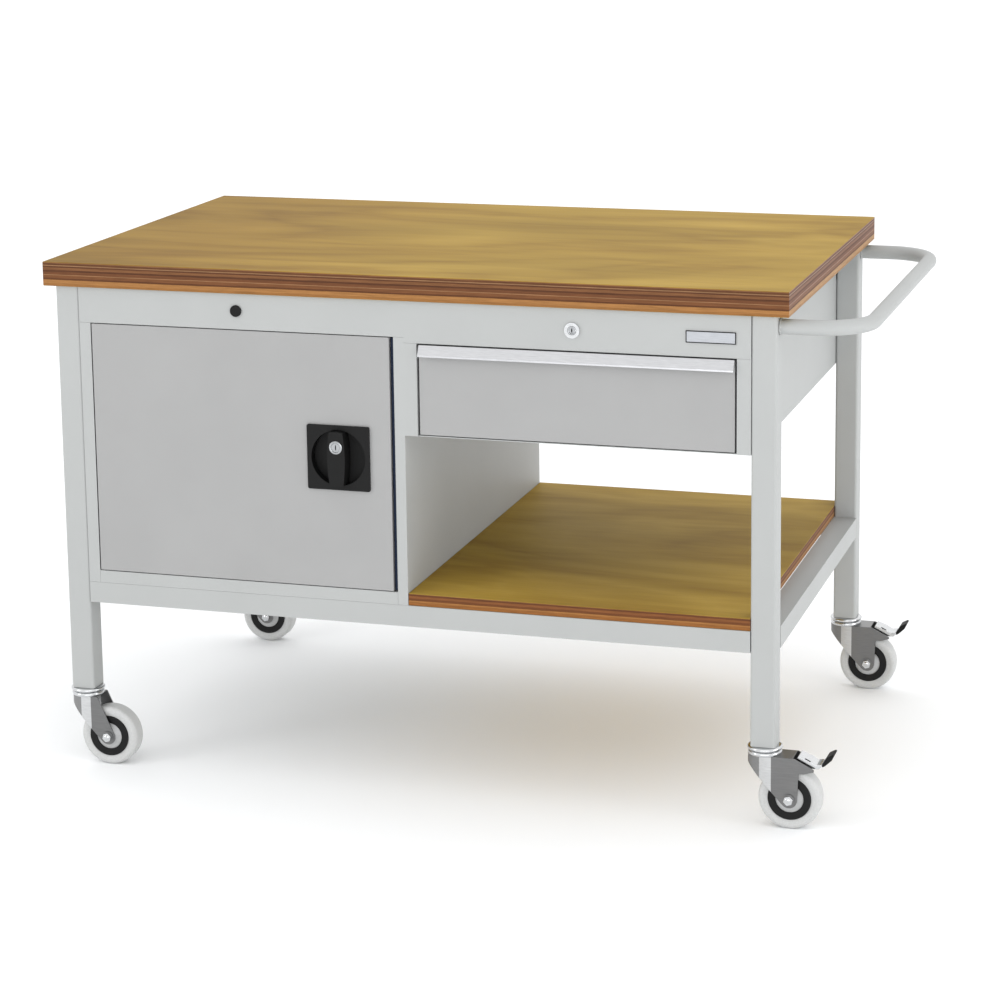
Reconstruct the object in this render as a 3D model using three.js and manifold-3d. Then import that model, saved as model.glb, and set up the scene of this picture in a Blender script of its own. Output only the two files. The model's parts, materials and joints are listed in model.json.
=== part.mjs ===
// Rolling workbench: a steel frame on four swivel casters, a plywood worktop, a cupboard
// with a turn latch, one drawer under the worktop, an open bay with a shelf, a push handle.
//
// Millimetres, +Z up. Sub-parts are laid out in the bench's own layout frame: x = 0 at the
// outer face of the left legs, y = 0 at the front face of the legs, z = 0 at the floor.
// The exported group is then shifted so that its origin is bottom centre of the whole part.
import * as THREE from 'three';
import { mergeVertices } from 'three/addons/utils/BufferGeometryUtils.js';
import Module from 'manifold-3d';

const wasm = await Module();
wasm.setup();

// ---------------------------------------------------------------- driving dimensions
const GAP = 0.3; // play left between pieces that rest on each other
const SHEET = 1.2; // folded sheet steel

const FRAME_W = 1200; // across the outer faces of the legs
const FRAME_D = 756; // front face to rear face of the legs
const BENCH_H = 857; // floor to the top of the worktop
const TOP_T = 40; // worktop thickness
const TOP_SIDE = 19; // worktop overhang at the left and right
const TOP_FRONT = 6; // worktop overhang at the front and back

const LEG = 40; // square leg tube
const TUBE_WALL = 2;
const LEG_FOOT_Z = 132; // lower end of the legs, on top of the casters

const RAIL_H = 35; // lower rails, as wide as the legs
const RAIL_TOP = 318.5;
const TOP_RAIL_H = 15; // flat rails that the worktop is screwed to

const SHELF_T = 20; // plywood shelf in the open bay
const STILE_MID = 600; // the cupboard ends and the drawer bay begins
const DRAWER_BAY_Z = 598.7; // underside of the drawer bay
const FASCIA_DEPTH = 16; // how far the folded lips of the fascia reach back

const DOOR_X0 = 62;
const DOOR_X1 = 575.5;
const DOOR_Z0 = 341;
const DOOR_Z1 = 756.3;
const DOOR_OPENING = [60, 583]; // left and right edges of the door opening
const DOOR_DEPTH = 18;
const FASCIA_Z_DOOR = 758; // lower edge of the fascia over the door
const HINGE = [65.5, 3.6]; // x and y of the door's pivot axis
const HINGE_R = 2;

const LATCH = [487.5, 556.5]; // x and z of the turn latch's axis
const LATCH_PLATE = 106;
const DISH_R = 46;
const DISH_FLOOR_Y = 12;
const GRIP_FRONT = -15;
const KEY_FRONT = -16.2; // foremost face of the whole bench
const KEY_UP = 19.5; // key cylinder above the latch axis

const DRAWER_OPENING = [621.5, 1137.5];
const DRAWER_X0 = 625;
const DRAWER_X1 = 1134;
const DRAWER_Y = 2; // the drawer front sits a little back from the legs
const DRAWER_Z0 = 601.5;
const DRAWER_Z1 = 745.5;
const FASCIA_Z_DRAWER = 749.2;
const TRAY_X = [634, 1126];
const TRAY_Y = [20.3, 660];
const TRAY_Z = [604, 735];
const PULL_FRONT = -10; // foremost edge of the drawer pull
const RUNNER_Z = [640, 690];

const DRAWER_LOCK = [877, 781.6]; // x and z of the drawer lock's axis
const PLUG = [317, 788.3]; // x and z of the blanking plug

const HANDLE_R = 12; // push handle tube
const HANDLE_Z = 798.5;
const HANDLE_REACH = 132; // tube centre beyond the right legs
const HANDLE_BEND = 80;

const WHEEL_R = 50;
const WHEEL_W = 32;
const TRAIL = 42; // wheel axle behind the swivel axis
const FORK_HALF = 21; // half width over the fork's cheeks
const FORK_WALL = 2.5;
const RACE_R = 28.2;
const NUT_H = 5.5;
const AXLE_END = FORK_HALF + GAP + NUT_H + 1.5; // bolt tip, from the caster's middle

// ---------------------------------------------------------------- materials
function paint(color, roughness, metalness) {
  return new THREE.MeshStandardMaterial({ color, roughness, metalness });
}
const GREY = paint(0xc7c9c8, 0.55, 0.1);
const FRONT_GREY = paint(0xb7b7b6, 0.55, 0.1);
const PLYWOOD = paint(0xb59a54, 0.45, 0);
const ALUMINIUM = paint(0xdfe0e2, 0.35, 0.8);
const CHROME = paint(0xcfd2d4, 0.18, 1);
const ZINC = paint(0x8d8f90, 0.4, 0.9);
const BLACK = paint(0x1b1b1c, 0.45, 0);
const NYLON = paint(0xd6d7d6, 0.5, 0);

// ---------------------------------------------------------------- geometry helpers
// A closed three.js geometry as a manifold-3d solid.
function toSolid(geometry) {
  const bare = geometry.clone();
  bare.deleteAttribute('normal');
  bare.deleteAttribute('uv');
  const merged = mergeVertices(bare, 1e-4);
  return new wasm.Manifold(
    new wasm.Mesh({
      numProp: 3,
      vertProperties: new Float32Array(merged.attributes.position.array),
      triVerts: new Uint32Array(merged.index.array),
    })
  );
}

function toGeometry(solid) {
  const mesh = solid.getMesh();
  const geometry = new THREE.BufferGeometry();
  geometry.setAttribute('position', new THREE.BufferAttribute(new Float32Array(mesh.vertProperties), 3));
  geometry.setIndex(new THREE.BufferAttribute(new Uint32Array(mesh.triVerts), 1));
  return geometry;
}

function join(...geometries) {
  const solids = geometries.map(toSolid);
  return toGeometry(solids.reduce((sum, next) => sum.add(next)));
}

function cut(geometry, ...tools) {
  const rest = tools.map(toSolid).reduce((left, tool) => left.subtract(tool), toSolid(geometry));
  return toGeometry(rest);
}

// The volume two closed geometries share.
function meet(first, second) {
  return toGeometry(toSolid(first).intersect(toSolid(second)));
}

function box(x0, x1, y0, y1, z0, z1) {
  const geometry = new THREE.BoxGeometry(x1 - x0, y1 - y0, z1 - z0);
  return geometry.translate((x0 + x1) / 2, (y0 + y1) / 2, (z0 + z1) / 2);
}

function shapeOf(points) {
  return new THREE.Shape(points.map(([a, b]) => new THREE.Vector2(a, b)));
}

function extrude(shape, length, curveSegments = 8) {
  return new THREE.ExtrudeGeometry(shape, { depth: length, bevelEnabled: false, curveSegments });
}

const AXES = [new THREE.Vector3(1, 0, 0), new THREE.Vector3(0, 1, 0), new THREE.Vector3(0, 0, 1)];
const YZ_TO_X = new THREE.Matrix4().makeBasis(AXES[1], AXES[2], AXES[0]);
const XZ_TO_Y = new THREE.Matrix4().makeBasis(AXES[0], AXES[2], AXES[1].clone().negate());

// A (y, z) outline swept from x0 to x1.
function sweepX(shape, x0, x1) {
  return extrude(shape, x1 - x0).applyMatrix4(YZ_TO_X).translate(x0, 0, 0);
}

// An (x, z) outline swept from y0 to y1.
function sweepY(shape, y0, y1) {
  return extrude(shape, y1 - y0).applyMatrix4(XZ_TO_Y).translate(0, y1, 0);
}

// An (x, y) outline swept from z0 to z1.
function sweepZ(shape, z0, z1) {
  return extrude(shape, z1 - z0).translate(0, 0, z0);
}

// A round rod along Y, centred on (x, z).
function rodY(x, z, radius, y0, y1, sides = 24) {
  const geometry = new THREE.CylinderGeometry(radius, radius, y1 - y0, sides);
  return geometry.translate(x, (y0 + y1) / 2, z);
}

function rodZ(x, y, radius, z0, z1, sides = 20) {
  const geometry = new THREE.CylinderGeometry(radius, radius, z1 - z0, sides);
  return geometry.rotateX(Math.PI / 2).translate(x, y, (z0 + z1) / 2);
}

// A turned piece about the Y axis from a closed outline of (radius, y) points.
function turnedY(points, sides) {
  const outline = [...points, points[0]].map(([r, y]) => new THREE.Vector2(r, y));
  return new THREE.LatheGeometry(outline, sides);
}

function roundedSquare(half, radius) {
  const shape = new THREE.Shape();
  const inner = half - radius;
  shape.absarc(inner, inner, radius, 0, Math.PI / 2, false);
  shape.absarc(-inner, inner, radius, Math.PI / 2, Math.PI, false);
  shape.absarc(-inner, -inner, radius, Math.PI, Math.PI * 1.5, false);
  shape.absarc(inner, -inner, radius, Math.PI * 1.5, Math.PI * 2, false);
  return shape;
}

const TOP_UNDERSIDE = BENCH_H - TOP_T;
const HANG_Z = TOP_UNDERSIDE - GAP; // whatever touches the worktop ends here
const RIGHT_LEGS = FRAME_W - LEG;
const REAR_LEGS = FRAME_D - LEG;
const FLOOR_Z = RAIL_TOP + GAP; // whatever stands on the lower rails starts here

const farRight = FRAME_W + HANDLE_REACH + HANDLE_R; // outside of the push handle
const farBack = FRAME_D - LEG / 2 + AXLE_END; // tips of the rear caster bolts
const bench = new THREE.Group();
bench.position.set(-(farRight - TOP_SIDE) / 2, -(farBack + KEY_FRONT) / 2, 0);

function add(name, geometry, material, parent = bench) {
  const mesh = new THREE.Mesh(geometry, material);
  mesh.name = name;
  parent.add(mesh);
  return mesh;
}

// ---------------------------------------------------------------- frame
function legTube() {
  const shape = roundedSquare(LEG / 2, 4);
  shape.holes.push(roundedSquare(LEG / 2 - TUBE_WALL, 2));
  return extrude(shape, HANG_Z - LEG_FOOT_Z, 2);
}

function rectangularTube(width, height) {
  const shape = shapeOf([[0, 0], [width, 0], [width, height], [0, height]]);
  const [w, h, t] = [width - TUBE_WALL, height - TUBE_WALL, TUBE_WALL];
  shape.holes.push(shapeOf([[t, t], [t, h], [w, h], [w, t]]));
  return shape;
}

const CORNERS = [
  { name: 'front_left', x: LEG / 2, y: LEG / 2, brake: false },
  { name: 'front_right', x: FRAME_W - LEG / 2, y: LEG / 2, brake: true },
  { name: 'rear_left', x: LEG / 2, y: FRAME_D - LEG / 2, brake: false },
  { name: 'rear_right', x: FRAME_W - LEG / 2, y: FRAME_D - LEG / 2, brake: true },
];

function addLegs() {
  for (const { name, x, y } of CORNERS) {
    add(`leg_${name}`, legTube(), GREY).position.set(x, y, LEG_FOOT_Z);
  }
}

function addRails() {
  const [x0, x1] = [LEG + GAP, RIGHT_LEGS - GAP];
  const [y0, y1] = [LEG + GAP, REAR_LEGS - GAP];
  const low = RAIL_TOP - RAIL_H;
  const high = HANG_Z - TOP_RAIL_H;
  const lowRail = rectangularTube(LEG, RAIL_H);
  const sides = { left: 0, right: RIGHT_LEGS };
  add('lower_rail_front', sweepX(lowRail, x0, x1), GREY).position.set(0, 0, low);
  add('lower_rail_rear', sweepX(lowRail, x0, x1), GREY).position.set(0, REAR_LEGS, low);
  add('top_rail_rear', box(x0, x1, REAR_LEGS, FRAME_D, high, HANG_Z), GREY);
  for (const [side, x] of Object.entries(sides)) {
    add(`lower_rail_${side}`, sweepY(lowRail, y0, y1), GREY).position.set(x, 0, low);
    add(`top_rail_${side}`, box(x, x + LEG, y0, y1, high, HANG_Z), GREY);
  }
}

function addWorktop() {
  const slab = box(
    -TOP_SIDE, FRAME_W + TOP_SIDE, -TOP_FRONT, FRAME_D + TOP_FRONT, TOP_UNDERSIDE, BENCH_H
  );
  add('worktop', slab, PLYWOOD);
  const shelf = box(
    STILE_MID + GAP, RIGHT_LEGS - GAP, 0.5, FRAME_D - 0.5, FLOOR_Z, FLOOR_Z + SHELF_T
  );
  add('bay_shelf', shelf, PLYWOOD);
}

function addPushHandle() {
  const start = FRAME_W + GAP;
  const far = FRAME_W + HANDLE_REACH;
  const [y0, y1] = [LEG / 2, FRAME_D - LEG / 2];
  const at = (x, y) => new THREE.Vector3(x, y, HANDLE_Z);
  const bend = far - HANDLE_BEND;
  const path = new THREE.CurvePath();
  path.add(new THREE.LineCurve3(at(start, y0), at(bend, y0)));
  path.add(new QuarterBend(bend, y0 + HANDLE_BEND, -Math.PI / 2));
  path.add(new THREE.LineCurve3(at(far, y0 + HANDLE_BEND), at(far, y1 - HANDLE_BEND)));
  path.add(new QuarterBend(bend, y1 - HANDLE_BEND, 0));
  path.add(new THREE.LineCurve3(at(bend, y1), at(start, y1)));
  const section = new THREE.Shape().absarc(0, 0, HANDLE_R, 0, Math.PI * 2, false);
  const tube = new THREE.ExtrudeGeometry(section, { steps: 44, extrudePath: path, curveSegments: 5 });
  add('push_handle', tube, GREY);
}

// A quarter circle in the handle's plane, turning anticlockwise from the start angle.
class QuarterBend extends THREE.Curve {
  constructor(x, y, from) {
    super();
    this.centre = new THREE.Vector3(x, y, HANDLE_Z);
    this.from = from;
  }

  getPoint(t, target = new THREE.Vector3()) {
    const angle = this.from + (t * Math.PI) / 2;
    target.set(Math.cos(angle), Math.sin(angle), 0).multiplyScalar(HANDLE_BEND);
    return target.add(this.centre);
  }
}

// ---------------------------------------------------------------- cupboard and drawer bay
function addFascia() {
  const [x0, x1] = [LEG + GAP, RIGHT_LEGS - GAP];
  const top = HANG_Z;
  const parts = join(
    box(x0, STILE_MID, 0, SHEET, FASCIA_Z_DOOR, top),
    box(STILE_MID, x1, 0, SHEET, FASCIA_Z_DRAWER, top),
    box(x0, x1, 0, FASCIA_DEPTH, top - SHEET, top),
    box(x0, STILE_MID, 0, FASCIA_DEPTH, FASCIA_Z_DOOR, FASCIA_Z_DOOR + SHEET),
    box(STILE_MID, x1, 0, FASCIA_DEPTH, FASCIA_Z_DRAWER, FASCIA_Z_DRAWER + SHEET)
  );
  const holes = [
    rodY(...DRAWER_LOCK, 11.4, -5, 5, 24),
    rodY(...PLUG, 8.2, -5, 5, 16),
    rodZ(...HINGE, HINGE_R + GAP, FASCIA_Z_DOOR - 5, FASCIA_Z_DOOR + 5),
  ];
  add('front_fascia', cut(parts, ...holes), GREY);
}

const WALL_FRONT = FASCIA_DEPTH + GAP; // upper part of a side wall starts behind the fascia
const WALL_REAR = FRAME_D - 2;

// A side wall of folded sheet: full depth below the fascia, shorter between the top rails.
function sideWall(x0, zLow, zFascia) {
  return join(
    box(x0, x0 + SHEET, 0, WALL_REAR, zLow, zFascia - GAP),
    box(x0, x0 + SHEET, WALL_FRONT, REAR_LEGS - GAP, zFascia - 1, HANG_Z)
  );
}

function addCupboard() {
  const left = LEG + GAP;
  const [open0, open1] = DOOR_OPENING;
  const inner0 = left + SHEET + GAP;
  const inner1 = STILE_MID - SHEET - GAP;
  const doorTop = FASCIA_Z_DOOR - GAP;
  const returnLow = DOOR_Z0 - 1;
  const leftWall = join(
    sideWall(left, FLOOR_Z, FASCIA_Z_DOOR),
    box(left, open0, 0, SHEET, FLOOR_Z, doorTop)
  );
  add('cupboard_side_left', leftWall, GREY);

  const drawerStile = FASCIA_Z_DRAWER - GAP;
  const middle = join(
    sideWall(STILE_MID - SHEET, FLOOR_Z, FASCIA_Z_DOOR),
    box(open1, STILE_MID, 0, SHEET, FLOOR_Z, doorTop),
    box(open1, open1 + SHEET, 0, DOOR_DEPTH, returnLow, doorTop),
    box(STILE_MID - 0.5, DRAWER_OPENING[0], 0, SHEET, DRAWER_BAY_Z, drawerStile),
    box(DRAWER_OPENING[0] - SHEET, DRAWER_OPENING[0], 0, DOOR_DEPTH, DRAWER_BAY_Z + 1.5, drawerStile)
  );
  add('middle_partition', middle, GREY);

  const floorTop = DOOR_Z0 - 1.6;
  const floor = join(
    box(open0 + GAP, open1 - GAP, 0, SHEET, FLOOR_Z, floorTop),
    box(open0 + GAP, open1 - GAP, 0, 20, floorTop - SHEET, floorTop),
    box(inner0, inner1, SHEET + GAP, WALL_REAR - SHEET - GAP, floorTop - SHEET, floorTop)
  );
  const pinHole = rodZ(...HINGE, HINGE_R + GAP, floorTop - 5, floorTop + 5);
  add('cupboard_floor', cut(floor, pinHole), GREY);

  const railLow = HANG_Z - TOP_RAIL_H - GAP;
  add('cupboard_back', box(inner0, inner1, WALL_REAR - SHEET, WALL_REAR, FLOOR_Z, railLow), GREY);
  add('cupboard_shelf', insideShelf(inner0, inner1), GREY);
}

// The loose shelf inside the cupboard, its front and rear edges folded down.
function insideShelf(x0, x1) {
  const [y0, y1, z, fold] = [60, 735, 541, 18];
  const outline = shapeOf([
    [y0, z - fold], [y0 + SHEET, z - fold], [y0 + SHEET, z - SHEET],
    [y1 - SHEET, z - SHEET], [y1 - SHEET, z - fold], [y1, z - fold], [y1, z], [y0, z],
  ]);
  return sweepX(outline, x0, x1);
}

function addDrawerBay() {
  const right = RIGHT_LEGS - GAP;
  const stileTop = FASCIA_Z_DRAWER - GAP;
  const open1 = DRAWER_OPENING[1];
  const wall = join(
    sideWall(right - SHEET, DRAWER_BAY_Z, FASCIA_Z_DRAWER),
    box(open1, right, 0, SHEET, DRAWER_BAY_Z, stileTop),
    box(open1, open1 + SHEET, 0, DOOR_DEPTH, DRAWER_BAY_Z + 1.5, stileTop)
  );
  add('drawer_bay_side_right', wall, GREY);
  const [x0, x1] = [STILE_MID + GAP, right - SHEET - GAP];
  const floorTop = DRAWER_BAY_Z + SHEET;
  add('drawer_bay_floor', box(x0, x1, SHEET + GAP, WALL_REAR, DRAWER_BAY_Z, floorTop), GREY);
  const railLow = HANG_Z - TOP_RAIL_H - GAP;
  add('drawer_bay_back', box(x0, x1, WALL_REAR - SHEET, WALL_REAR, floorTop + GAP, railLow), GREY);
  addRunner('runner_left', x0, 1);
  addRunner('runner_right', x1, -1);
}

// A U channel that holds the drawer's side rail; it opens towards the drawer.
function addRunner(name, wallX, side) {
  const [z0, z1] = RUNNER_Z;
  const [depth, sheet] = [31, 2];
  const outline = shapeOf([
    [0, z0], [side * depth, z0], [side * depth, z0 + sheet], [side * sheet, z0 + sheet],
    [side * sheet, z1 - sheet], [side * depth, z1 - sheet], [side * depth, z1], [0, z1],
  ]);
  add(name, sweepY(outline, 22, 720), ZINC).position.set(wallX, 0, 0);
}

function addFrontFittings() {
  const [plugX, plugZ] = PLUG;
  const plug = join(rodY(plugX, plugZ, 9.5, -2.8, -GAP, 24), rodY(plugX, plugZ, 7.8, -1, 10, 16));
  add('blanking_plug', plug, BLACK);
  add('name_plate', box(1058, 1136, -1.4, -GAP, 771.5, 789.7), ALUMINIUM);
}

// ---------------------------------------------------------------- door and latch
function foldedFront(x0, x1, y0, depth, z0, z1) {
  const solid = box(x0, x1, y0, y0 + depth, z0, z1);
  const hollow = box(x0 + SHEET, x1 - SHEET, y0 + SHEET, y0 + depth + 5, z0 + SHEET, z1 - SHEET);
  return cut(solid, hollow);
}

function addDoor() {
  const pan = foldedFront(DOOR_X0, DOOR_X1, 0, DOOR_DEPTH, DOOR_Z0, DOOR_Z1);
  const holes = [
    rodY(...LATCH, DISH_R + 3, -5, 5, 36),
    rodZ(...HINGE, HINGE_R + GAP, DOOR_Z0 - 5, DOOR_Z0 + 5),
    rodZ(...HINGE, HINGE_R + GAP, DOOR_Z1 - 5, DOOR_Z1 + 5),
  ];
  add('door_panel', cut(pan, ...holes), FRONT_GREY);
  add('hinge_pin_lower', rodZ(...HINGE, HINGE_R, DOOR_Z0 - 4, DOOR_Z0 + 14), ZINC);
  add('hinge_pin_upper', rodZ(...HINGE, HINGE_R, DOOR_Z1 - 14, DOOR_Z1 + 4.5), ZINC);
}

function addLatch() {
  const [x, z] = LATCH;
  const plateShape = roundedSquare(LATCH_PLATE / 2, 3);
  const plate = join(
    sweepY(plateShape, -4, -GAP).translate(x, 0, z),
    rodY(x, z, DISH_R + 2, -2, DISH_FLOOR_Y + 2, 36)
  );
  const dish = rodY(x, z, DISH_R, -10, DISH_FLOOR_Y, 36);
  add('latch_plate', cut(plate, dish, rodY(x, z, 8.5, 5, 20)), BLACK);

  const keySeat = rodY(x, z + KEY_UP, 11.3, -20, 2, 24);
  const bar = sweepY(gripOutline(), GRIP_FRONT, DISH_FLOOR_Y - 0.5).translate(x, 0, z);
  const grip = cut(join(bar, rodY(x, z, 8, 5, DOOR_DEPTH + 1)), keySeat);
  add('latch_grip', grip, BLACK);

  const slot = box(x - 0.9, x + 0.9, -20, KEY_FRONT + 3, z + KEY_UP - 5, z + KEY_UP + 5);
  add('latch_key_cylinder', cut(rodY(x, z + KEY_UP, 11, KEY_FRONT, 1.7, 24), slot), CHROME);

  const camY = DOOR_DEPTH + 1 + GAP;
  add('latch_cam', sweepY(camOutline(13, 10, 106), camY, camY + 3).translate(x, 0, z), ZINC);
}

// The grip seen from the front: waisted a little at both ends, rounded to the dish.
function gripOutline() {
  const [half, end, tip] = [15.5, 11.5, DISH_R - 1];
  const shape = new THREE.Shape();
  const shoulder = Math.sqrt(tip * tip - end * end);
  shape.moveTo(end, -shoulder);
  shape.quadraticCurveTo(half + 3, 0, end, shoulder);
  shape.quadraticCurveTo(0, tip + 1, -end, shoulder);
  shape.quadraticCurveTo(-half - 3, 0, -end, -shoulder);
  shape.quadraticCurveTo(0, -tip - 1, end, -shoulder);
  return shape;
}

// A flat cam lever hanging straight down: a round hub and a tapering arm.
function camOutline(hub, tip, reach) {
  const shape = new THREE.Shape();
  shape.absarc(0, 0, hub, 0, Math.PI, false);
  shape.absarc(0, tip - reach, tip, Math.PI, Math.PI * 2, false);
  return shape;
}

// ---------------------------------------------------------------- drawer and its lock
function addDrawer() {
  const front = foldedFront(DRAWER_X0, DRAWER_X1, DRAWER_Y, DOOR_DEPTH, DRAWER_Z0, DRAWER_Z1);
  add('drawer_front', front, FRONT_GREY);
  add('drawer_pull', sweepX(pullOutline(), DRAWER_X0 + 1, DRAWER_X1), ALUMINIUM);

  const [x0, x1] = TRAY_X;
  const [y0, y1] = TRAY_Y;
  const [z0, z1] = TRAY_Z;
  const rail0 = DRAWER_OPENING[0] + 1.5;
  const rail1 = DRAWER_OPENING[1] - 1.5;
  const tray = join(
    box(x0, x1, y0, y1, z0, z0 + SHEET),
    box(x0, x0 + SHEET, y0, y1, z0, z1),
    box(x1 - SHEET, x1, y0, y1, z0, z1),
    box(rail0, x0 + 0.5, y0 + 5, y1, RUNNER_Z[0] + 5, RUNNER_Z[1] - 5),
    box(x1 - 0.5, rail1, y0 + 5, y1, RUNNER_Z[0] + 5, RUNNER_Z[1] - 5)
  );
  add('drawer_tray', tray, GREY);
  add('drawer_back', box(x0, x1, y1 + GAP, y1 + GAP + SHEET, z0, z1), GREY);
}

// The pull's section in (y, z): a cap over the front's top edge and a lip that slants out.
function pullOutline() {
  const cap = DRAWER_Z1 + GAP;
  const top = cap + SHEET;
  return shapeOf([
    [12, cap], [12, top], [-2, top], [PULL_FRONT, top - 15], [PULL_FRONT, top - 17.5],
    [PULL_FRONT + 1.6, top - 17.5], [PULL_FRONT + 1.6, top - 15.2], [-0.9, cap],
  ]);
}

function addDrawerLock() {
  const [x, z] = DRAWER_LOCK;
  const barrel = join(rodY(x, z, 12.5, -2.6, -GAP, 24), rodY(x, z, 11, -1, 16, 24));
  add('drawer_lock_housing', cut(barrel, rodY(x, z, 7.3, -10, 20)), CHROME);
  const slot = box(x - 0.8, x + 0.8, -6, 0, z - 4, z + 4);
  add('drawer_lock_cylinder', cut(rodY(x, z, 7, -3, 20), slot), CHROME);
  const cam = sweepY(camOutline(8, 6, 41), 20.5, 22.5);
  const turned = add('drawer_lock_cam', cam.rotateY(-Math.PI / 2), ZINC);
  turned.position.set(x, 0, z);
}

// ---------------------------------------------------------------- casters
const FORK_TOP = 118;
const NOSE_TIP = -27; // the fork's foremost point, from the swivel axis
const NOSE_BACK = 12; // where the nose's curve meets the straight cheeks
const AXLE_R = 5;
const BRAKE_PIVOT = [66, 104]; // x and z of the brake pedal's axis, from the swivel axis

function stemGeometry() {
  return join(
    rodZ(0, 0, 17.2, LEG_FOOT_Z - 2, LEG_FOOT_Z + 40, 16),
    rodZ(0, 0, RACE_R, 125, LEG_FOOT_Z - GAP, 28),
    rodZ(0, 0, 6, 108, 128, 12)
  );
}

// One cheek of the fork seen from the side, in (x, z) from the swivel axis.
function cheekOutline(brake) {
  const shape = new THREE.Shape();
  shape.moveTo(NOSE_TIP - 1, 106);
  shape.absarc(TRAIL, WHEEL_R, 13.5, Math.PI * 1.22, Math.PI * 2.08, false);
  if (brake) {
    shape.lineTo(53, 84);
    shape.quadraticCurveTo(56, 95, 70, 94);
    shape.lineTo(82, 99);
    shape.lineTo(80, 103);
    shape.lineTo(50, FORK_TOP);
  } else {
    shape.lineTo(25, FORK_TOP);
  }
  shape.lineTo(NOSE_TIP - 1, FORK_TOP);
  return shape;
}

// The fork seen from above: two straight cheeks that run into an elliptical nose.
function forkPlan(inset) {
  const half = FORK_HALF - inset;
  const shape = new THREE.Shape();
  shape.moveTo(90, -half);
  shape.lineTo(90, half);
  shape.lineTo(NOSE_BACK, half);
  shape.absellipse(NOSE_BACK, 0, NOSE_BACK - NOSE_TIP - inset, half, Math.PI / 2, Math.PI * 1.5, false);
  return shape;
}

function forkGeometry(brake) {
  const outside = sweepZ(forkPlan(0), 30, FORK_TOP);
  const inside = sweepZ(forkPlan(FORK_WALL), 25, FORK_TOP - FORK_WALL);
  const inner = FORK_HALF - FORK_WALL;
  const pedalRoom = box(48, 95, -inner, inner, 25, FORK_TOP + 5);
  const cheeks = sweepY(cheekOutline(brake), -FORK_HALF - 1, FORK_HALF + 1);
  const shell = meet(cut(outside, inside, pedalRoom), cheeks);
  const body = join(shell, rodZ(0, 0, RACE_R - 1, FORK_TOP - 1, 124.7, 28));
  const bores = [
    rodZ(0, 0, 6.5, 100, 130, 12),
    rodY(TRAIL, WHEEL_R, AXLE_R + GAP, -40, 40, 16),
  ];
  return cut(body, ...bores);
}

function wheelGeometry() {
  const [w, hub] = [WHEEL_W / 2, 14];
  const bore = AXLE_R + GAP;
  const half = [
    [bore, w + 2], [hub, w + 2], [hub, w - 4], [33, w - 4],
    [35, w - 1], [43, w - 1], [WHEEL_R, w - 9],
  ];
  const mirrored = half.map(([r, y]) => [r, -y]).reverse();
  return turnedY([...half, ...mirrored].reverse(), 32);
}

function axleGeometry() {
  const seat = FORK_HALF + GAP;
  return join(
    rodY(0, 0, AXLE_R, -seat - 2, AXLE_END, 16),
    rodY(0, 0, 8.6, -seat - NUT_H, -seat, 6),
    rodY(0, 0, 8.6, seat, seat + NUT_H, 6)
  );
}

// The pedal's section in (x, z) from its pivot: a cam nose, a cover plate and a raised toe.
function pedalGeometry() {
  const toe = shapeOf([
    [-8, 2], [-4, -5], [4, -5], [12, -2], [22, -2], [42, 28], [38, 31], [17, 5], [6, 11], [-10, 17], [-12, 13],
  ]);
  return sweepY(toe, -15, 15);
}

function addCasters() {
  for (const { name, x, y, brake } of CORNERS) {
    const caster = new THREE.Group();
    caster.position.set(x, y, 0);
    bench.add(caster);
    add(`caster_stem_${name}`, stemGeometry(), CHROME, caster);
    add(`caster_fork_${name}`, forkGeometry(brake), ZINC, caster);
    add(`caster_wheel_${name}`, wheelGeometry(), NYLON, caster).position.set(TRAIL, 0, WHEEL_R);
    add(`caster_axle_${name}`, axleGeometry(), CHROME, caster).position.set(TRAIL, 0, WHEEL_R);
    if (brake) {
      const pedal = add(`brake_pedal_${name}`, pedalGeometry(), BLACK, caster);
      pedal.position.set(BRAKE_PIVOT[0], 0, BRAKE_PIVOT[1]);
    }
  }
}

addWorktop();
addLegs();
addRails();
addPushHandle();
addFascia();
addCupboard();
addDrawerBay();
addFrontFittings();
addDoor();
addLatch();
addDrawer();
addDrawerLock();
addCasters();

export default bench;
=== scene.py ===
"""Looks for the rolling workbench: materials, fine meshes, light and camera."""
import json
import math
import bmesh
import bpy
from mathutils import Matrix, Vector

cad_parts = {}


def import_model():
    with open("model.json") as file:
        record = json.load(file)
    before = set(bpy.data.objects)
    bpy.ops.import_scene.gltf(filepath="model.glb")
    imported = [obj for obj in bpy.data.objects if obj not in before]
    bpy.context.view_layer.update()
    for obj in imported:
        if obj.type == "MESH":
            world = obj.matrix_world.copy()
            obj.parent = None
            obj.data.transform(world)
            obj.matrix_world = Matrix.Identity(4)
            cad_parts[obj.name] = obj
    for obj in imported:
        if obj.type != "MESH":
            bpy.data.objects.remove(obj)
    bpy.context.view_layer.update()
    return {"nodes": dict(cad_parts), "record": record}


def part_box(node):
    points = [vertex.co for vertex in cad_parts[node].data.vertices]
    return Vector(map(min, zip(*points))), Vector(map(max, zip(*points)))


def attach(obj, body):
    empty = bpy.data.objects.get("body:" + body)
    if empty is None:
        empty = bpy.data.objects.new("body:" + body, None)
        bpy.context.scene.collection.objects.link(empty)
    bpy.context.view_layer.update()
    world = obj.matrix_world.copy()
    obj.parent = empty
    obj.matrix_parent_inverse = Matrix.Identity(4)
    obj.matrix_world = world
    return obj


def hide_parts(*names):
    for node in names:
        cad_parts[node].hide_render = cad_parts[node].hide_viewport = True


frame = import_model()
NODES = frame["nodes"]
CORNERS = ("front_left", "front_right", "rear_left", "rear_right")
BRAKED = ("front_right", "rear_right")

# ---------------------------------------------------------------- places, from the frame
TOP_LOW, TOP_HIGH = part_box("worktop")
SHELF_LOW, SHELF_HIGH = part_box("bay_shelf")
MM = 0.001

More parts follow.
